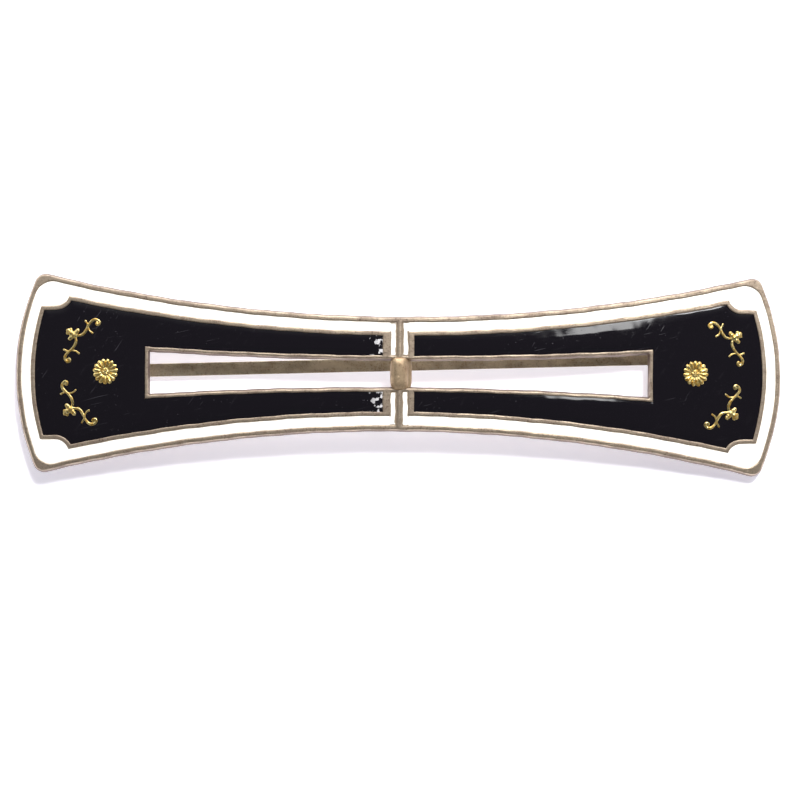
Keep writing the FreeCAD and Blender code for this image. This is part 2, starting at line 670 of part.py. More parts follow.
clip_blank.Base, clip_blank.DirMode, clip_blank.Dir = clip_strip, "Custom", Vector(0, 0, 1)
clip_blank.Symmetric = clip_blank.Solid = True
clip_blank.setExpression("LengthFwd", "sizes.clip_length")
clip_middle = Vector(size("waist_start + waist_length / 2"), 0, 0)
flat = Placement(clip_middle, Rotation(Vector(0, 1, 0), 90) * Rotation(Vector(0, 0, 1), 90))
clip_blank.Placement = CLASP * flat
catch_clip = combine("Part::Cut", "catch_clip", clip_blank, in_front)

# ---------------------------------------------------------------- check and write
doc.recompute()
PARTS = [plaque, *cells.values(), *foils, centre_bead, clasp_bar, bar_knuckle, hinge_pin,
         hinge_plate, hinge_lug_upper, hinge_lug_lower, catch_plate, catch_clip]
for item in doc.Objects:
    if {"Invalid", "Error"} & set(item.State):
        raise RuntimeError(f"{item.Label} didn't build: {item.State}")
os.makedirs("parts", exist_ok=True)
for item in PARTS:
    shape = item.Shape
    if shape.isNull() or not shape.isValid():
        raise RuntimeError(f"{item.Label} has no valid shape")
    shape.exportStep(f"parts/{item.Label}.step")
    print(f"{item.Label:22} {len(shape.Solids)} solid {shape.Volume:9.3f} mm3")
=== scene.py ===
# %% [markdown]
# # An enamelled bar barrette
#
# The barrette is a bow-tie shaped silver plaque with a long window in it. White enamel fills a border
# all round it, black enamel fills the field inside, and stamped gold foils lie on the black. Behind the
# plaque a flat tongue turns on a hinge at the left and snaps into a clip at the right.
#
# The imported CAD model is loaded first. It fixes every size and place, so each piece made below is built
# where its CAD node is and takes its place.

# %% Load the frame
import math

import bmesh
import bpy
import numpy as np
from mathutils import Matrix, Vector, kdtree, noise
from mathutils.geometry import delaunay_2d_cdt


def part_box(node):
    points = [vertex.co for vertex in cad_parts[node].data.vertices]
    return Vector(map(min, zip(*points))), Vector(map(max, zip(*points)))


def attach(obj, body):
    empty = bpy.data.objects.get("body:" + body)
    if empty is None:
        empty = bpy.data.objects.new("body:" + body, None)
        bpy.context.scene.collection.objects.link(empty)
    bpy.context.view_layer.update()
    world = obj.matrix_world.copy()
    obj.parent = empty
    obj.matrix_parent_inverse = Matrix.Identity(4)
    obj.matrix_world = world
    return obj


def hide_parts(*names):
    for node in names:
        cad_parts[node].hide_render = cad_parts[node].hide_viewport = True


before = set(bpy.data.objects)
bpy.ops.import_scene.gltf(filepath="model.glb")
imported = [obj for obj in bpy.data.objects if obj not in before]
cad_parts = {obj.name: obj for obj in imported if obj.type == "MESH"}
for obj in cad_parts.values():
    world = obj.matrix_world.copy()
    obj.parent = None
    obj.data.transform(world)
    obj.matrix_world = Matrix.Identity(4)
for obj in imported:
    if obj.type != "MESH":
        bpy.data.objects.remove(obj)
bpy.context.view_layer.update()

MM = 0.001

# %% [markdown]
# ## Sizes
#
# Everything is worked out in millimetres. The plaque's length comes from the frame. Its edges are plain
# arcs, so a few radii and widths describe the whole plan: each border is the same outline moved inwards.
# The plaque is bent twice, strongly along its length and slightly across, like the back of a spoon.

# %% Sizes in millimetres
plaque_low, plaque_high = (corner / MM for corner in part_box("plaque"))
HALF_LENGTH = (plaque_high.x - plaque_low.x) / 2
HALF_WAIST = 6.15
LONG_RADIUS, FIELD_RADIUS, END_RADIUS = 160.0, 168.0, 26.0
ARCH_RADIUS, DOME_RADIUS = 220.0, 90.0

FLOOR, ENAMEL, RIM = 0.75, 1.22, 1.3  # heights above the back: cell floor, enamel, rims
RIM_WIDTH, WHITE_WIDTH, RIB_WIDTH = 0.65, 1.02, 0.42
TO_RIB = RIM_WIDTH + WHITE_WIDTH
TO_BLACK = TO_RIB + RIB_WIDTH
PLAQUE_CORNER, WHITE_CORNER = 1.2, 1.9
SCOOP_RADIUS, SCOOP_PLACE = 1.5, (36.7, 8.65)

WINDOW_HALF, WINDOW_WAIST, WINDOW_RADIUS, WINDOW_RIM = 26.55, 1.4, 420.0, 0.5
RIDGE_HALF, STRIP_WIDTH = 0.3, 0.65
INNER_RIB = {"left": 0.8, "right": 0.6}
SIDES = {"left": -1, "right": 1}

# %% [markdown]
# ## From the plan to the bent plaque
#
# Each piece is drawn flat, as a map of the plaque, and then lifted to its height above the back face.
# One function does the bending, so pieces that touch in the plan touch on the plaque too. A slow ripple of
# a few hundredths of a millimetre is added to the plan, because a hand-finished rim is never quite even.


# %% The bend
def ripple(x, z):
    """A small sideways drift of the plan, in mm, the same for every piece."""
    along = 0.016 * np.sin(x * 1.3 + 0.4 * z) + 0.012 * np.sin(x * 2.9 - 1.1 * z + 1.0)
    across = 0.018 * np.sin(x * 0.9 + 0.7 * z + 2.0) + 0.014 * np.sin(x * 2.3 + 0.5 * z)
    return along - 0.03 * x / 40, across - 0.036 * z / 10


def on_plaque(x, z, height):
    """A plan point and a height above the back, in mm, as a place in metres."""
    ring = ARCH_RADIUS - DOME_RADIUS + np.sqrt((DOME_RADIUS + height) ** 2 - z**2)
    return np.stack([x, ARCH_RADIUS - np.sqrt(ring**2 - x**2), z], axis=-1) * MM


# %% [markdown]
# ## Outlines
#
# The long edges are hollow arcs and the ends are round ones. Where two arcs meet, the meeting point is the
# crossing of two circles. Only the upper right quarter is drawn; the rest follows by mirroring.


# %% Arcs and outlines
def arc(centre, radius, start, end, step=0.2):
    """Points along an arc between two angles in degrees, without its last point."""
    count = max(3, int(abs(math.radians(end - start)) * radius / step))
    turn = np.radians(np.linspace(start, end, count, endpoint=False))
    return np.stack([centre[0] + radius * np.cos(turn), centre[1] + radius * np.sin(turn)], axis=1)


def crossing(a, radius_a, b, radius_b):
    """The crossing of two circles that lies to the left of the line from a to b."""
    a, b = np.array(a), np.array(b)
    gap = np.linalg.norm(b - a)
    along = (radius_a**2 - radius_b**2 + gap**2) / (2 * gap)
    aside = math.sqrt(radius_a**2 - along**2)
    line = (b - a) / gap
    return a + line * along + np.array([-line[1], line[0]]) * aside


def angle(centre, point):
    """Direction from centre to point, in degrees."""
    return math.degrees(math.atan2(point[1] - centre[1], point[0] - centre[0]))


def circles(inset):
    """Centre and radius of the upper long edge, and of the right end, of an outline moved inwards.

    The field is a little straighter than the plaque, so the white border widens towards its ends.
    """
    radius = LONG_RADIUS if inset < TO_RIB else FIELD_RADIUS
    top = (0.0, HALF_WAIST + radius)
    end = (HALF_LENGTH - END_RADIUS, 0.0)
    return (top, radius + inset), (end, END_RADIUS - inset)


def long_edge(inset, start, stop):
    """The long edge from X = start to X = stop."""
    (top, radius), _ = circles(inset)
    x = np.linspace(start, stop, max(3, int(abs(stop - start) / 0.25)), endpoint=False)
    return np.stack([x, top[1] - np.sqrt(radius**2 - x**2)], axis=1)


def rounded_quarter(inset, corner, start):
    """Long edge, round corner and half of the end."""
    (top, long_radius), (end, end_radius) = circles(inset)
    middle = crossing(top, long_radius + corner, end, end_radius - corner)
    on_long = middle + (np.array(top) - middle) * corner / np.linalg.norm(np.array(top) - middle)
    to_end = angle(end, middle)
    bend = arc(middle, corner, angle(middle, on_long), to_end, 0.1)
    return np.vstack([long_edge(inset, start, on_long[0]), bend, arc(end, end_radius, to_end, 0)])


def scooped_quarter(inset, grow, start):
    """Long edge, hollow corner with its short level run, and half of the end."""
    (top, long_radius), (end, end_radius) = circles(inset)
    radius = SCOOP_RADIUS + grow
    tip = crossing(SCOOP_PLACE, radius, top, long_radius)
    level = SCOOP_PLACE[1] - radius
    run_end = end[0] + math.sqrt(end_radius**2 - level**2)
    run = np.linspace(SCOOP_PLACE[0], run_end, 4, endpoint=False)
    level_run = np.stack([run, np.full_like(run, level)], axis=1)
    start_angle = angle(SCOOP_PLACE, tip) % 360
    return np.vstack([
        long_edge(inset, start, tip[0]),
        arc(SCOOP_PLACE, radius, start_angle, 270, 0.1),
        level_run,
        arc(end, end_radius, angle(end, (run_end, level)), 0),
    ])


def window_quarter(grow, start):
    """Upper edge of the window from X = start to its end, and half of that end."""
    half, radius = WINDOW_HALF + grow, WINDOW_RADIUS - grow
    x = np.linspace(start, half, max(3, int((half - start) / 0.25)), endpoint=False)
    top = WINDOW_WAIST + WINDOW_RADIUS - np.sqrt(radius**2 - x**2)
    height = WINDOW_WAIST + WINDOW_RADIUS - math.sqrt(radius**2 - half**2)
    z = np.linspace(height, 0, 8, endpoint=False)
    return np.vstack([np.stack([x, top], axis=1), np.stack([np.full_like(z, half), z], axis=1)])


def mirrored(path):
    """A quarter path and its reflection below, from upper start to lower start."""
    below = path[::-1] * (1, -1)
    ends_meet = np.array([[path[-1][0], 0.0]])
    return np.vstack([path, ends_meet, below])


def both_halves(quarter):
    """The whole closed outline from a quarter that starts at X = 0."""
    right = mirrored(quarter)
    left = right[::-1] * (-1, 1)
    return np.vstack([right, left[1:-1]])


# %% [markdown]
# ## The cells
#
# A cell is a hollow in the silver that one enamel fills. Each half of the plaque has two: a white border
# that also runs up beside the centre ridge, and a black field that wraps round the window.


# %% Outlines of the cells
def white_cell(side):
    """Closed outline of a white border: outer edge, then back along the rib, with a tab by the ridge."""
    tab = RIDGE_HALF + STRIP_WIDTH
    outer = mirrored(rounded_quarter(RIM_WIDTH, WHITE_CORNER, RIDGE_HALF))
    inner = mirrored(scooped_quarter(TO_RIB, 0.0, tab))[::-1]
    foot = window_quarter(WINDOW_RIM, RIDGE_HALF)[0][1]
    lower = [(RIDGE_HALF, -foot), (tab, -foot)]
    upper = [(tab, foot), (RIDGE_HALF, foot)]
    loop = np.vstack([outer, lower, inner, upper])
    return loop * (SIDES[side], 1)


def black_cell(side):
    """Closed outline of a black field: outer edge, then back round the window."""
    start = RIDGE_HALF + STRIP_WIDTH + INNER_RIB[side]
    outer = mirrored(scooped_quarter(TO_BLACK, RIB_WIDTH, start))
    inner = mirrored(window_quarter(WINDOW_RIM, start))[::-1]
    return np.vstack([outer, inner]) * (SIDES[side], 1)


def fine(loop, step=0.2):
    """The same closed outline with no side longer than step."""
    after = np.roll(loop, -1, axis=0)
    pieces = []
    for a, b in zip(loop, after):
        count = max(1, math.ceil(np.linalg.norm(b - a) / step))
        pieces.append(a + (b - a) * np.arange(count)[:, None] / count)
    return np.vstack(pieces)


OUTLINE = fine(both_halves(rounded_quarter(0.0, PLAQUE_CORNER, 0.0)))
WINDOW = fine(both_halves(window_quarter(0.0, 0.0)))
CELLS = {f"white_enamel_{side}": fine(white_cell(side)) for side in SIDES}
CELLS.update({f"black_enamel_{side}": fine(black_cell(side)) for side in SIDES})
print("points in the outlines:", {name: len(loop) for name, loop in CELLS.items()})

# %% [markdown]
# ## Filling an outline with triangles
#
# A curve filled by Blender has long thin triangles, which can't bend. Here the fill is made from points
# instead: rows of points at chosen distances inside the edge, where a rim or a meniscus needs them, and an
# even grid in the middle. Delaunay triangulation joins them, and triangles outside the outline are dropped.


# %% Regions
class Region:
    """A plan region inside its closed outlines, which knows how far a point is from its edge."""

    def __init__(self, *loops):
        self.loops = loops
        self.starts = np.vstack(loops)
        self.ends = np.vstack([np.roll(loop, -1, axis=0) for loop in loops])
        self.tree = kdtree.KDTree(len(self.starts))
        for i, (a, b) in enumerate(zip(self.starts, self.ends)):
            self.tree.insert((*(a + b) / 2, 0.0), i)
        self.tree.balance()

    def distance(self, points):
        """Distance of each point from the nearest edge."""
        near = np.array([[hit[1] for hit in self.tree.find_n((*p, 0.0), 3)] for p in points])
        best = np.full(len(points), np.inf)
        for column in near.T:
            a, b = self.starts[column], self.ends[column]
            side = b - a
            share = np.clip(((points - a) * side).sum(1) / (side**2).sum(1), 0, 1)
            best = np.minimum(best, np.linalg.norm(points - a - side * share[:, None], axis=1))
        return best

    def holds(self, points):
        """True for each point inside, by counting the edges that a ray from it crosses."""
        inside = np.zeros(len(points), bool)
        x, z = points[:, 0], points[:, 1]
        for (ax, az), (bx, bz) in zip(self.starts, self.ends):
            if az == bz:
                continue
            spans = (az > z) != (bz > z)
            inside ^= spans & (x < (bx - ax) * (z - az) / (bz - az) + ax)
        return inside


def rows_inside(loop, distances):
    """Copies of a loop's points, each moved to the left or right of the line by the given distances."""
    tangent = np.roll(loop, -1, axis=0) - np.roll(loop, 1, axis=0)
    tangent /= np.linalg.norm(tangent, axis=1)[:, None]
    normal = np.stack([-tangent[:, 1], tangent[:, 0]], axis=1)
    return np.vstack([loop + normal * distance for distance in distances])


def tile(region, spacing, extra=(), edge_rows=()):
    """Points and triangles that fill a region. extra are more points, kept where they are inside."""
    low, high = region.starts.min(0), region.starts.max(0)
    xs = np.arange(low[0], high[0], spacing)
    zs = np.arange(low[1], high[1], spacing * 0.866)
    grid = np.stack(np.meshgrid(xs, zs), axis=-1)
    grid[1::2, :, 0] += spacing / 2
    grid = grid.reshape(-1, 2)
    clear = max((*edge_rows, 0.0)) + spacing * 0.6
    grid = grid[region.holds(grid)]
    grid = grid[region.distance(grid) > clear]
    added = [np.zeros((0, 2))]
    for distance in edge_rows:
        for loop in region.loops:
            row = rows_inside(loop, (distance, -distance))
            row = row[region.holds(row)]
            added.append(row[region.distance(row) > distance * 0.97])
    for points in extra:
        points = points[region.holds(points)]
        added.append(points[region.distance(points) > 0.02])
    inner = np.vstack(added)
    if len(inner) and len(grid):
        tree = kdtree.KDTree(len(inner))
        for i, point in enumerate(inner):
            tree.insert((*point, 0.0), i)
        tree.balance()
        far = [tree.find((*point, 0.0))[2] > spacing * 0.5 for point in grid]
        grid = grid[np.array(far)]
    points = np.vstack([region.starts, inner, grid])
    edges, first = [], 0
    for loop in region.loops:
        count = len(loop)
        edges += [(first + i, first + (i + 1) % count) for i in range(count)]
        first += count
    flat, _, faces, *_ = delaunay_2d_cdt([Vector(p) for p in points], edges, [], 0, 1e-5, False)
    flat = np.array([tuple(p) for p in flat])
    faces = np.array([tuple(face) for face in faces])
    faces = faces[region.holds(flat[faces].mean(axis=1))]
    used = np.unique(faces)
    place = np.zeros(len(flat), int)
    place[used] = np.arange(len(used))
    flat, faces = flat[used], place[faces]
    a, b, c = (flat[faces[:, i]] for i in range(3))
    area = (b[:, 0] - a[:, 0]) * (c[:, 1] - a[:, 1]) - (b[:, 1] - a[:, 1]) * (c[:, 0] - a[:, 0])
    faces[area < 0] = faces[area < 0][:, ::-1]
    return flat, faces


# %% [markdown]
# ## From a tiling to a solid
#
# Each piece is a closed solid: the tiling at its upper height, the same tiling at its lower height, and a
# wall along the edge. The distance from the edge is kept on the mesh, because stains and dirt follow edges,
# and so does the painted shade on the plaque's walls.


# %% Solids
def solid(name, points, faces, top, bottom, **masks):
    """A closed mesh object between two heights over a tiling. Masks are numbers kept for each point."""
    count = len(points)
    drift = ripple(points[:, 0], points[:, 1])
    x, z = points[:, 0] + drift[0], points[:, 1] + drift[1]
    places = np.vstack([on_plaque(x, z, top), on_plaque(x, z, bottom)])
    sides = np.vstack([faces[:, (0, 1)], faces[:, (1, 2)], faces[:, (2, 0)]])
    seen = {tuple(side) for side in sides}
    border = [side for side in seen if side[::-1] not in seen]
    walls = [(b, a, a + count, b + count) for a, b in sorted(border)]
    mesh = bpy.data.meshes.new(name)
    mesh.from_pydata(places.tolist(), [], [*faces.tolist(), *(faces[:, ::-1] + count).tolist(), *walls])
    mesh.shade_smooth()
    mesh.set_sharp_from_angle(angle=math.radians(50))
    for mask, values in masks.items():
        attribute = mesh.attributes.new(mask, "FLOAT", "POINT")
        attribute.data.foreach_set("value", np.concatenate([values, values]).astype(np.float32))
    piece = bpy.data.objects.new(name, mesh)
    bpy.context.scene.collection.objects.link(piece)
    return piece


def ease(value, low, high):
    """0 below low, 1 above high, and a smooth step between."""
    share = np.clip((value - low) / (high - low), 0, 1)
    return share * share * (3 - 2 * share)


def place(piece, body, *nodes, slot=None):
    """Fix a piece to its body, in place of its CAD nodes."""
    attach(piece, body)
    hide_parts(*nodes)
    print(f"{piece.name}: {len(piece.data.polygons)} faces")
    return piece


# %% [markdown]
# ## The silver plaque
#
# The plaque is struck from one sheet, so its rims, ribs and ridge are one mesh with the plate. A height is
# given to every point of the plan: cell floors are low, ribs are high with a softly rounded top, and the
# outer wall and the window's wall lean, because a struck piece has to leave its die.

# %% Plaque
WALL_LEAN, WINDOW_LEAN, LAND = 0.2, 0.2, 0.2
RIDGE_RISE, EDGE_FALL, RIB_FALL, ON_RIB = 0.06, 0.04, 0.035, 0.02
cell_regions = {name: Region(loop) for name, loop in CELLS.items()}


def silver_height(points):
    """Height of the plaque's front over the plan."""
    out_edge = Region(OUTLINE).distance(points)
    in_edge = Region(WINDOW).distance(points)
    wall = LAND + (RIM - LAND) * np.clip(out_edge / WALL_LEAN, 0, 1) ** 0.8
    inner_wall = LAND + (RIM - LAND) * np.clip(in_edge / WINDOW_LEAN, 0, 1) ** 0.8
    height = np.minimum(wall, inner_wall)
    height -= EDGE_FALL * (1 - ease(np.minimum(out_edge, in_edge), WALL_LEAN, WALL_LEAN + 0.12))
    ridge = 1 - ease(np.abs(points[:, 0]), 0.0, RIDGE_HALF)
    inside_rims = ease(np.minimum(out_edge, in_edge), 0.2, 0.5)
    height += RIDGE_RISE * ridge * inside_rims
    for region in cell_regions.values():
        gap = region.distance(points)
        within = region.holds(points)
        height -= np.where(within, 0, RIB_FALL * (1 - ease(gap, 0.0, 0.1)))
        height = np.where(within & (gap > ON_RIB), FLOOR, height)
        height = np.where(within & (gap <= ON_RIB), np.minimum(height, RIM - 0.05), height)
    return height


plaque_region = Region(OUTLINE, WINDOW)
wall_rows = (0.05, 0.1, 0.16, 0.22, 0.27, 0.33, 0.4, 0.48)
cell_rows = [rows_inside(loop, (-0.21, -0.14, -0.09, -0.045, 0.0, 0.045, 0.09, 0.14, 0.21))
             for loop in CELLS.values()]
flat, faces = tile(plaque_region, 0.5, extra=cell_rows, edge_rows=wall_rows)
height = silver_height(flat)
# This mask is 0 on the outer wall and the window's wall and 1 on the rims; the silver finish paints shade
# along those walls with it.
rubbed = ease(plaque_region.distance(flat), 0.08, 0.22)
plaque = solid("plaque_silver", flat, faces, height, np.zeros(len(flat)), rubbed=rubbed)
place(plaque, "plaque", "plaque", slot="plaque_silver")

# %% [markdown]
# ## Enamel
#
# Enamel is glass powder melted into its cell and then rubbed down. It ends up full in the middle and falls
# away a little towards the silver, which is what makes a thin line of light run along its edges.


# %% Enamel
def enamel(name, crown, reach, slot):
    """Fill one cell with enamel that is crown mm fuller at reach mm from its edge."""
    region = cell_regions[name]
    rows = [reach * share for share in (0.08, 0.2, 0.35, 0.55, 0.78, 1.0)]
    points, triangles = tile(region, 0.4, edge_rows=rows)
    gap = region.distance(points)
    surface = ENAMEL - crown * (1 - np.clip(gap / reach, 0, 1)) ** 2
    surface += [0.006 * noise.noise(Vector((*p, 0.0)) * 0.5) for p in points]
    piece = solid(f"{name}_glass", points, triangles, surface, np.full(len(points), FLOOR + 0.02), edge=gap)
    return place(piece, "plaque", name, slot=slot)


whites = [enamel(f"white_enamel_{side}", 0.05, 0.35, "white_enamel") for side in SIDES]
blacks = [enamel(f"black_enamel_{side}", 0.075, 0.9, "black_enamel") for side in SIDES]

# %% [markdown]
# ## Gold foils
#
# The foils are stamped from thin gold leaf and fired onto the black enamel. A stamped flower is a height over
# a disc, so the rosette is made in rings round its centre, with a groove between petals and a grained boss.

# %% Rosettes
PETALS, PETAL_RISE, BOSS_RISE, FOIL_EDGE = 15, 0.17, 0.14, 0.03


def rosette(side):
    """A round foil flower with rounded petals and a small boss."""
    low, high = (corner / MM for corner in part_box(f"rosette_{side}"))
    centre = np.array([(low.x + high.x) / 2, (low.z + high.z) / 2])
    radius = (high.x - low.x) / 2
    turn = np.linspace(0, 2 * math.pi, PETALS * 10, endpoint=False)
    shares = np.linspace(0, 1, 19)[1:]
    share, turn_grid = np.meshgrid(shares, turn, indexing="ij")
    petal = np.abs(np.cos(turn_grid * PETALS / 2 + 0.7 * SIDES[side]))
    reach = radius * (0.8 + 0.2 * petal**0.6)
    x = centre[0] + share * reach * np.cos(turn_grid)
    z = centre[1] + share * reach * np.sin(turn_grid)
    lobes = ease(share, 0.3, 0.5) * petal**0.7 * (0.55 + 0.45 * share)
    rim_fall = 1 - ease(share, 0.86, 1.0)
    boss = (1 - ease(share, 0.2, 0.36)) * (0.75 + 0.25 * np.cos(turn_grid * 6) * ease(share, 0.05, 0.2))
    tops = ENAMEL + FOIL_EDGE + (PETAL_RISE * lobes + BOSS_RISE * boss) * (0.25 + 0.75 * rim_fall)
    points = np.vstack([centre, np.stack([x.ravel(), z.ravel()], axis=1)])
    tops = np.concatenate([[ENAMEL + 0.15], tops.ravel()])
    around = len(turn)
    triangles = [(0, 1 + i, 1 + (i + 1) % around) for i in range(around)]
    for ring in range(len(shares) - 1):
        for i in range(around):
            a, b = 1 + ring * around + i, 1 + ring * around + (i + 1) % around
            triangles += [(a, a + around, b + around), (a, b + around, b)]
    piece = solid(f"rosette_{side}_foil", points, np.array(triangles), tops,
                  np.full(len(points), ENAMEL - 0.04))
    return place(piece, "plaque", f"rosette_{side}", slot="gold_foil")


rosettes = [rosette(side) for side in SIDES]

# %% [markdown]
# The four sprays share one drawing: two arms that leave a three-lobed leaf, curl at their ends, and are each
# crossed by a short tendril. An arm is a row of overlapping balls that swells and thins along a smooth line.
# A voxel remesh melts leaf, arms and tendrils into one skin, as stamping does.

# %% Spray drawing, for the upper right corner
LEAF = {(35.98, 4.3): 0.33, (36.3, 4.5): 0.34, (36.56, 4.72): 0.24, (36.3, 4.84): 0.2, (36.62, 4.46): 0.2,
        (35.72, 4.55): 0.27, (35.56, 4.74): 0.24, (36.22, 4.02): 0.27, (36.38, 3.86): 0.23}
ARMS = [
    [(35.8, 4.15), (35.05, 4.3), (34.66, 4.72), (34.44, 5.18), (34.16, 5.6), (33.8, 5.86), (33.4, 5.84),
     (33.16, 5.58), (33.32, 5.36), (33.54, 5.42), (33.5, 5.56)],
    [(35.84, 4.15), (35.7, 3.66), (35.84, 3.15), (36.17, 2.7), (36.55, 2.34), (36.84, 1.98), (36.84, 1.56),
     (36.56, 1.32), (36.34, 1.46), (36.4, 1.66), (36.54, 1.62)],
]
TENDRILS = [[(34.7, 5.72), (34.5, 5.36), (34.4, 5.0), (34.26, 4.66), (33.96, 4.42)],
            [(37.0, 2.66), (36.6, 2.48), (36.1, 2.58), (35.7, 2.52), (35.4, 2.28)]]


def smooth_line(corners, count):
    """Points along a smooth curve through the corners."""
    corners = np.array(corners)
    padded = np.vstack([2 * corners[0] - corners[1], corners, 2 * corners[-1] - corners[-2]])
    along = np.linspace(0, len(corners) - 1 - 1e-6, count)
    i = along.astype(int)
    t = (along - i)[:, None]
    a, b, c, d = (padded[i + k] for k in range(4))
    return 0.5 * (2 * b + (c - a) * t + (2 * a - 5 * b + 4 * c - d) * t**2 + (3 * b - a - 3 * c + d) * t**3)


def spray_balls():
    """Places and radii of the balls that make up a spray."""
    balls = list(LEAF.items())
    for arm in ARMS:
        line = smooth_line(arm, 60)
        swell = 0.135 + 0.035 * np.sin(np.linspace(0, 3 * math.pi, 60)) ** 2
        balls += list(zip(map(tuple, line), swell))
    for tendril in TENDRILS:
        line = smooth_line(tendril, 24)
        balls += list(zip(map(tuple, line), 0.115 - 0.02 * np.sin(np.linspace(0, math.pi, 24))))
    return balls


drawn = np.array([spot for spot, _ in spray_balls()])
drawn_middle = (drawn.min(0) + drawn.max(0)) / 2
print("balls in a spray:", len(drawn), "round", drawn_middle)

# %% Sprays
BALL_FLATTENING, VOXEL, SMOOTHINGS = 0.75, 0.035, 3


def spray(side, level):
    """One gold spray, mirrored into its corner and lifted onto the enamel."""
    node = f"scroll_{side}_{level}"
    across = 1 if level == "upper" else -1
    low, high = (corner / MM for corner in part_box(node))
    lump = bmesh.new()
    for (x, z), radius in spray_balls():
        shape = Matrix.Translation((x, z, 0)) @ Matrix.Diagonal((1, 1, BALL_FLATTENING, 1))
        bmesh.ops.create_icosphere(lump, subdivisions=2, radius=radius, matrix=shape)
    mesh = bpy.data.meshes.new("lump")
    lump.to_mesh(mesh)
    lump.free()
    rough = bpy.data.objects.new("lump", mesh)
    bpy.context.scene.collection.objects.link(rough)
    remesh = rough.modifiers.new("melt", "REMESH")
    remesh.mode, remesh.voxel_size = "VOXEL", VOXEL
    soften = rough.modifiers.new("soften", "SMOOTH")
    soften.iterations = SMOOTHINGS
    bpy.context.view_layer.update()
    skin = bpy.data.meshes.new_from_object(rough.evaluated_get(bpy.context.evaluated_depsgraph_get()))
    bpy.data.objects.remove(rough)
    local = np.array([v.co for v in skin.vertices])
    x = (local[:, 0] - drawn_middle[0]) * SIDES[side] + (low.x + high.x) / 2
    z = (local[:, 1] - drawn_middle[1]) * across + (low.z + high.z) / 2
    drift = ripple(x, z)
    bent = on_plaque(x + drift[0], z + drift[1], ENAMEL + 0.01 + local[:, 2])
    skin.vertices.foreach_set("co", bent.ravel())
    if SIDES[side] * across > 0:
        skin.flip_normals()
    skin.update()
    skin.shade_smooth()
    piece = bpy.data.objects.new(f"{node}_foil", skin)
    bpy.context.scene.collection.objects.link(piece)
    return place(piece, "plaque", node, slot="gold_foil")


sprays = [spray(side, level) for side in SIDES for level in ("upper", "lower")]

# %% [markdown]
# ## The bead over the middle
#
# A short domed bar is soldered across the window where the two halves meet. It is also a height over a plan:
# an oval with a rounded top, and a low skirt of solder beside it.

# %% Bead
bead_low, bead_high = (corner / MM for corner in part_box("centre_bead"))
BEAD_HALF_WIDTH = (bead_high.x - bead_low.x) / 2
BEAD_HALF_LENGTH = (bead_high.z - bead_low.z) / 2
BEAD_TOP = -bead_low.y
SKIRT, BEAD_SEAT = 0.38, 0.78


def oval(half_width, half_length, power):
    """A closed outline between an ellipse and a rectangle."""
    turn = np.linspace(0, 2 * math.pi, 72, endpoint=False)
    cos, sin = np.cos(turn), np.sin(turn)
    return np.stack([half_width * np.sign(cos) * np.abs(cos) ** (2 / power),
                     half_length * np.sign(sin) * np.abs(sin) ** (2 / power)], axis=1)


bead_plan = oval(BEAD_HALF_WIDTH + SKIRT / 2, BEAD_HALF_LENGTH, 4.0) + (SKIRT / 2, 0)
bead_region = Region(bead_plan)
bead_points, bead_faces = tile(bead_region, 0.09, edge_rows=(0.03, 0.07, 0.12))
across = np.abs(bead_points[:, 0]) / BEAD_HALF_WIDTH
along = np.abs(bead_points[:, 1]) / BEAD_HALF_LENGTH
fullness = np.clip(1 - across**3.2 - 0.9 * along**6, 0, 1) ** 0.5
bead_surface = BEAD_SEAT + (BEAD_TOP - BEAD_SEAT) * fullness
bead_surface -= 0.25 * ease(across, 1.0, 1.5) + 0.25 * (1 - ease(bead_region.distance(bead_points), 0, 0.08))
bead_surface += [0.03 * noise.noise(Vector((*p, 0.0)) * 1.6) for p in bead_points]
bead_surface = np.minimum(bead_surface, BEAD_TOP)
bead = solid("centre_bead_silver", bead_points, bead_faces, bead_surface, np.zeros(len(bead_points)))
place(bead, "plaque", "centre_bead", slot="bead_silver")

# %% [markdown]
# ## Finishes
#
# A finish is a network of nodes round one shader. Two small classes keep the networks readable: Value lets
# sums be written with ordinary signs, and Finish adds any node in one call.


# %% Node helpers
class Value:
    """A number that changes over a surface. Sums on it add Math nodes."""

    def __init__(self, finish, socket):
        self.finish, self.socket = finish, socket

    def maths(self, operation, *values):
        return self.finish.node("ShaderNodeMath", {"operation": operation}, dict(enumerate(values)))

    def __add__(self, other):
        return self.maths("ADD", self, other)

    def __sub__(self, other):
        return self.maths("SUBTRACT", self, other)

    def __rsub__(self, other):
        return self.maths("SUBTRACT", other, self)

    def __mul__(self, other):
        return self.maths("MULTIPLY", self, other)

    def __abs__(self):
        return self.maths("ABSOLUTE", self)

    __radd__, __rmul__ = __add__, __mul__

    def fade(self, low, high):
        """0 at low, 1 at high, and a smooth step between. low may be the larger."""
        return self.finish.node("ShaderNodeMapRange", {"interpolation_type": "SMOOTHSTEP"},
                                {"Value": self, "From Min": low, "From Max": high})


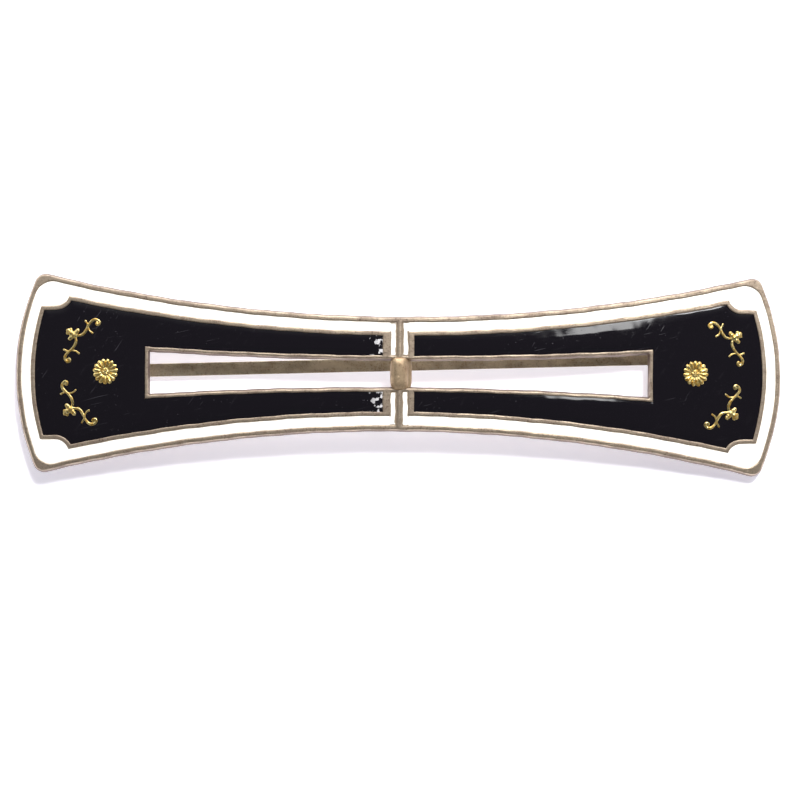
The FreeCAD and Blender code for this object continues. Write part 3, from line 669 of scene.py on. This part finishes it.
class Finish:
    """A material round one Principled shader."""

    def __init__(self, name, **values):
        self.material = bpy.data.materials.new(name)
        self.material.use_nodes = True
        self.tree = self.material.node_tree
        self.shader = self.tree.nodes["Principled BSDF"]
        for socket, value in values.items():
            self.shader.inputs[socket.replace("_", " ")].default_value = value
        coordinates = self.node("ShaderNodeTexCoord", output="Object")
        self.place = self.node("ShaderNodeVectorMath", {"operation": "SCALE"},
                               {0: coordinates, "Scale": 1 / MM})

    def node(self, kind, settings=None, values=None, output=0):
        """Add a node, set it up, feed its sockets, and return one output."""
        node = self.tree.nodes.new(kind)
        for name, setting in (settings or {}).items():
            if name == "stops":
                for spot, colour in setting[2:]:
                    node.color_ramp.elements.new(spot).color = colour
                for element, (spot, colour) in zip(node.color_ramp.elements, sorted(setting)):
                    element.position, element.color = spot, colour
            else:
                setattr(node, name, setting)
        for socket, value in (values or {}).items():
            self.feed(node.inputs[socket], value)
        return Value(self, node.outputs[output])

    def feed(self, socket, value):
        """Link a Value to a socket, or set a plain number or colour on it."""
        if isinstance(value, Value):
            self.tree.links.new(value.socket, socket)
        else:
            socket.default_value = value

    def noise(self, scale, detail=2.0, stretch=(1, 1, 1), shift=(0, 0, 0), turn=0.0, bend=0.0):
        """Cloudy values from 0 to 1. scale is in clouds to the mm, and stretch multiplies it by axis.

        turn swings the stretched pattern round in degrees, seen from the front, and bend curls it.
        """
        turned = self.node("ShaderNodeVectorRotate", {"rotation_type": "Y_AXIS"},
                           {"Vector": self.place, "Angle": math.radians(turn)})
        spot = self.node("ShaderNodeVectorMath", {"operation": "MULTIPLY_ADD"},
                         {0: turned, 1: stretch, 2: shift})
        return self.node("ShaderNodeTexNoise", {}, {"Vector": spot, "Scale": scale, "Detail": detail,
                                                    "Distortion": bend})

    def mix(self, share, first, second):
        """A colour between two colours."""
        return self.node("ShaderNodeMix", {"data_type": "RGBA"}, {0: share, 6: first, 7: second}, 2)

    def axis(self, letter):
        """The X, Y or Z place on the piece, in mm."""
        return self.node("ShaderNodeSeparateXYZ", {}, {0: self.place}, letter)

    def mask(self, name):
        """A number that the mesh keeps at each point."""
        return self.node("ShaderNodeAttribute", {"attribute_name": name}, output="Fac")

    def shade(self, **values):
        """Feed the shader's sockets."""
        for socket, value in values.items():
            self.feed(self.shader.inputs[socket.replace("_", " ")], value)

    def bump(self, height, depth):
        """Dents and bumps depth mm deep, from a height of 0 to 1."""
        self.shade(Normal=self.node("ShaderNodeBump", {}, {"Height": height, "Distance": depth * MM,
                                                            "Strength": 1.0}))


def colour(red, green, blue):
    """A display colour, 0 to 255, as the linear colour that shaders use."""
    return (*((part / 255 / 12.92 if part < 11 else ((part / 255 + 0.055) / 1.055) ** 2.4)
              for part in (red, green, blue)), 1.0)


# %% [markdown]
# ### Black enamel
#
# Black enamel is glass, so it is almost a mirror, with fine scratches from years in a drawer. The scratches
# are noise stretched into long lines in two directions. Where the glass has chipped, beside the middle, the
# pale ground shows.

# %% Black enamel finish
black = Finish("black_enamel", Roughness=0.07, IOR=1.5)
long_scratch = black.noise(1.0, 1.0, stretch=(0.3, 1, 7), turn=14, bend=0.4).fade(0.7, 0.77)
cross_scratch = black.noise(1.1, 1.0, stretch=(6, 1, 0.4), shift=(3, 0, 7), turn=-33,
                            bend=0.5).fade(0.7, 0.77)
dust = black.noise(4.0, 1.0, shift=(11, 0, 2)).fade(0.72, 0.78)
worn = black.noise(0.12, 2.0).fade(0.4, 0.7)
marks = (long_scratch * 0.35 + cross_scratch * 0.4 + dust * 0.5) * worn
near_middle = black.axis("X").fade(-4.2, -1.7) * black.axis("X").fade(-1.0, -1.6)
crumbs = black.noise(1.9, 3.0, shift=(5, 0, 1))
chips = (crumbs + near_middle * 0.16).fade(0.68, 0.72) * near_middle
glass = black.mix(marks * 0.5, colour(15, 13, 18), colour(92, 90, 96))
black.shade(Base_Color=black.mix(chips, glass, colour(196, 194, 196)),
            Roughness=0.07 + marks * 0.3 + chips * 0.4)
black.bump(black.noise(0.5, 1.0) - marks * 0.15 - chips * 2.0, 0.02)
for piece in blacks:
    piece.data.materials.append(black.material)
print("black enamel nodes:", len(black.tree.nodes))

# %% [markdown]
# ### White enamel
#
# White enamel is opaque glass. It stains a little where it meets the silver, and it holds fine dark pits.

# %% White enamel finish
white = Finish("white_enamel", Roughness=0.14, IOR=1.5)
edge = white.mask("edge")
stain = edge.fade(0.14, 0.0) * (white.noise(0.8, 3.0) * 1.2 - 0.2)
by_ridge = abs(white.axis("X")).fade(1.1, 0.9)
ragged = edge + white.noise(1.6, 3.0, stretch=(1, 1, 0.5)) * 0.5
ridge_dirt = by_ridge * ragged.fade(0.44, 0.3)
pits = white.noise(3.1, 2.0, shift=(4, 0, 9)).fade(0.74, 0.79)
clean = white.mix(white.noise(0.25, 2.0), colour(252, 252, 250), colour(246, 244, 238))
stained = white.mix(stain, clean, colour(215, 198, 166))
white.shade(Base_Color=white.mix(ridge_dirt * 0.9 + pits * 0.5, stained, colour(112, 92, 66)),
            Roughness=0.14 + stain * 0.3)
white.bump(white.noise(0.9, 2.0) - pits, 0.015)
for piece in whites:
    piece.data.materials.append(white.material)
print("white enamel nodes:", len(white.tree.nodes))

# %% [markdown]
# ### Old silver
#
# Old silver is a little yellow, with clouds of brown tarnish, and fine noise gives the file marks. On the
# plaque the outer wall and the window's wall are painted darker brown, a painted shade, so the rim tops stay
# lightest.


# %% Silver finishes
def old_silver(name, bright, tarnish, roughness, grain):
    """Silver with clouds of tarnish and fine marks. grain stretches the marks by axis."""
    finish = Finish(name)
    clouds = finish.noise(0.55, 4.0, stretch=(1, 1, 1.6)).fade(0.34, 0.68)
    flecks = finish.noise(5.0, 2.0, shift=(2, 0, 5)).fade(0.5, 0.72)
    dark = clouds * 0.6 + flecks * 0.4
    lines = finish.noise(3.0, 3.0, stretch=grain)
    finish.shade(Base_Color=finish.mix(dark, bright, tarnish), Roughness=roughness + dark * 0.1,
                 Metallic=1 - dark * 0.45)
    finish.bump(lines + flecks * 0.6, 0.02)
    return finish


plaque_finish = old_silver("plaque_silver", colour(206, 188, 166), colour(112, 94, 84), 0.46, (0.25, 1, 4))
front = plaque_finish.shader.inputs["Base Color"].links[0].from_socket
# Painted shade: the outer wall and the window's wall are darkened towards brown.
walls = plaque_finish.mask("rubbed").fade(1.0, 0.2)
plaque_finish.shade(Base_Color=plaque_finish.mix(walls * 0.85, Value(plaque_finish, front),
                                                 colour(98, 76, 66)))
bead_finish = old_silver("bead_silver", colour(206, 182, 150), colour(150, 124, 98), 0.5, (2, 1, 1))
clasp_finish = old_silver("clasp_silver", colour(190, 182, 164), colour(128, 118, 100), 0.45, (0.06, 3, 5))
plaque.data.materials.append(plaque_finish.material)
bead.data.materials.append(bead_finish.material)
clasp_nodes = ["clasp_bar", "bar_knuckle", "hinge_pin", "hinge_plate", "hinge_lug_upper",
               "hinge_lug_lower", "catch_plate", "catch_clip"]
for name in clasp_nodes:
    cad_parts[name].material_slots[0].material = clasp_finish.material
print("silver on", len(clasp_nodes), "parts of the clasp")

# %% [markdown]
# ### Gold foil
#
# Gold doesn't tarnish. Its colour is painted in noise clouds between a pale painted highlight and a darker,
# redder painted shade.

# %% Gold finish
gold = Finish("gold_foil", Metallic=1.0)
# Painted highlight and painted shade: noise clouds choose between a lit pale gold and a shaded redder gold,
# and the shaded parts are a little rougher.
painted_shade_clouds = gold.noise(3.5, 3.0).fade(0.35, 0.7)
gold.shade(Base_Color=gold.mix(painted_shade_clouds, colour(255, 236, 166), colour(214, 168, 78)),
           Roughness=0.26 + painted_shade_clouds * 0.15)
gold.bump(gold.noise(7.0, 2.0), 0.02)
for piece in rosettes + sprays:
    piece.data.materials.append(gold.material)
print("gold foil nodes:", len(gold.tree.nodes))

# %% [markdown]
# ## Stage, light and camera
#
# The barrette stands against a pale sheet just behind its clasp. The sheet shows only its front, so the back
# of the barrette can be seen from behind.

# %% Backdrop
lug_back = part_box("hinge_lug_upper")[1].y
clip_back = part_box("catch_clip")[1].y
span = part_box("catch_clip")[1].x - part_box("hinge_lug_upper")[0].x
SHEET_SIZE, SHEET_GAP = 1.4, 0.2  # half the sheet's side in metres, and a gap in mm
sheet = bpy.data.meshes.new("backdrop")
sheet.from_pydata([(-SHEET_SIZE, 0, -SHEET_SIZE), (SHEET_SIZE, 0, -SHEET_SIZE),
                   (SHEET_SIZE, 0, SHEET_SIZE), (-SHEET_SIZE, 0, SHEET_SIZE)], [], [(0, 1, 2, 3)])
backdrop = bpy.data.objects.new("backdrop", sheet)
bpy.context.scene.collection.objects.link(backdrop)
backdrop.rotation_euler.z = -math.atan2(lug_back - clip_back, span)
backdrop.location = (0, (lug_back + clip_back) / 2 + SHEET_GAP * MM, 0)
paper = Finish("paper", Roughness=0.9, Base_Color=colour(250, 250, 252),
               Emission_Color=colour(240, 238, 255), Emission_Strength=0.5)
back_side = paper.node("ShaderNodeNewGeometry", output="Backfacing")
clear = paper.node("ShaderNodeBsdfTransparent")
lit = Value(paper, paper.shader.outputs[0])
seen = paper.node("ShaderNodeMixShader", {}, {0: back_side, 1: lit, 2: clear})
paper.feed(paper.tree.nodes["Material Output"].inputs["Surface"], seen)
sheet.materials.append(paper.material)
print("backdrop turned by", round(math.degrees(backdrop.rotation_euler.z), 2), "degrees")

# %% [markdown]
# Black glass mirrors whatever stands before it, so the lights are few. The key light casts the soft shadow
# below, and isn't mirrored. A sparkle light above it glints on silver and gold. A narrow card puts one streak
# of glare on the black glass, and a light overhead fills in from above. The sky is brighter from above and
# behind than from the front, so the black stays black.


# %% Lights
def lamp(name, place, aim, size, power):
    """A square soft light at place, turned towards aim, in metres."""
    data = bpy.data.lights.new(name, "AREA")
    data.shape, data.size, data.energy = "SQUARE", size, power
    light = bpy.data.objects.new(name, data)
    light.location = place
    light.rotation_euler = (Vector(aim) - Vector(place)).to_track_quat("-Z", "Y").to_euler()
    bpy.context.scene.collection.objects.link(light)
    return light


key = lamp("key", (0.1, -0.8, 0.29), (0, 0, 0), 0.12, 8.0)
key.visible_glossy = False
lamp("sparkle", (0.2, -0.69, 0.475), (0, 0, 0), 0.2, 2.4)
card = lamp("card", (0.205, -0.73, 0.27), (0, 0, 0), 0.07, 0.5)
card.data.shape, card.data.size_y = "RECTANGLE", 0.24
lamp("top", (0.0, -0.2, 0.8), (0, 0, 0), 0.3, 2.0)
print("lights:", [light.name for light in bpy.data.lights])

# %% Sky
world = bpy.data.worlds.new("studio")
bpy.context.scene.world = world
world.use_nodes = True
studio = world.node_tree
direction = studio.nodes.new("ShaderNodeTexCoord").outputs["Generated"]
parts = studio.nodes.new("ShaderNodeSeparateXYZ")
studio.links.new(direction, parts.inputs[0])


def sky(socket, low, high, dim, bright):
    """Brightness that changes with a direction's X, Y or Z."""
    node = studio.nodes.new("ShaderNodeMapRange")
    node.interpolation_type = "SMOOTHSTEP"
    for name, value in zip(("From Min", "From Max", "To Min", "To Max"), (low, high, dim, bright)):
        node.inputs[name].default_value = value
    studio.links.new(socket, node.inputs["Value"])
    return node.outputs[0]


behind = sky(parts.outputs["Y"], -0.75, 0.0, 0.07, 0.6)
above = sky(parts.outputs["Z"], 0.25, 0.8, 0.0, 0.9)
total = studio.nodes.new("ShaderNodeMath")
studio.links.new(behind, total.inputs[0])
studio.links.new(above, total.inputs[1])
shine = studio.nodes["Background"]
studio.links.new(total.outputs[0], shine.inputs["Strength"])
plain = studio.nodes.new("ShaderNodeBackground")
path = studio.nodes.new("ShaderNodeLightPath")
choice = studio.nodes.new("ShaderNodeMixShader")
surface = studio.nodes["World Output"].inputs["Surface"]
for link in ((path.outputs["Is Camera Ray"], choice.inputs[0]), (shine.outputs[0], choice.inputs[1]),
             (plain.outputs[0], choice.inputs[2]), (choice.outputs[0], surface)):
    studio.links.new(*link)
for node in (shine, plain):
    node.inputs["Color"].default_value = (1, 1, 1, 1)
print("sky nodes:", len(studio.nodes))

# %% [markdown]
# The camera is far off with a long lens, a little low and to the left, and leans a third of a degree.

# %% Camera
DISTANCE, LENS = 0.45, 190.5
AIM_RIGHT, AIM_UP = 0.1, -2.76  # where the middle of the view falls, in mm from the plaque's middle
BELOW, LEFT, ROLL = (math.radians(turn) for turn in (1.4, 0.8, 0.35))
towards = Vector((-math.sin(LEFT) * math.cos(BELOW), -math.cos(LEFT) * math.cos(BELOW), -math.sin(BELOW)))
turned = (-towards).to_track_quat("-Z", "Y").to_matrix()
aim = turned @ Vector((AIM_RIGHT, AIM_UP, 0)) * MM
camera_data = bpy.data.cameras.new("camera")
camera_data.lens, camera_data.sensor_width = LENS, 36.0
camera = bpy.data.objects.new("camera", camera_data)
camera.location = aim + towards * DISTANCE
camera.rotation_euler = (turned @ Matrix.Rotation(ROLL, 3, "Z")).to_euler()
bpy.context.scene.collection.objects.link(camera)
bpy.context.scene.camera = camera
bpy.context.scene.view_settings.view_transform = "Standard"
print("camera at", [round(part, 3) for part in camera.location])
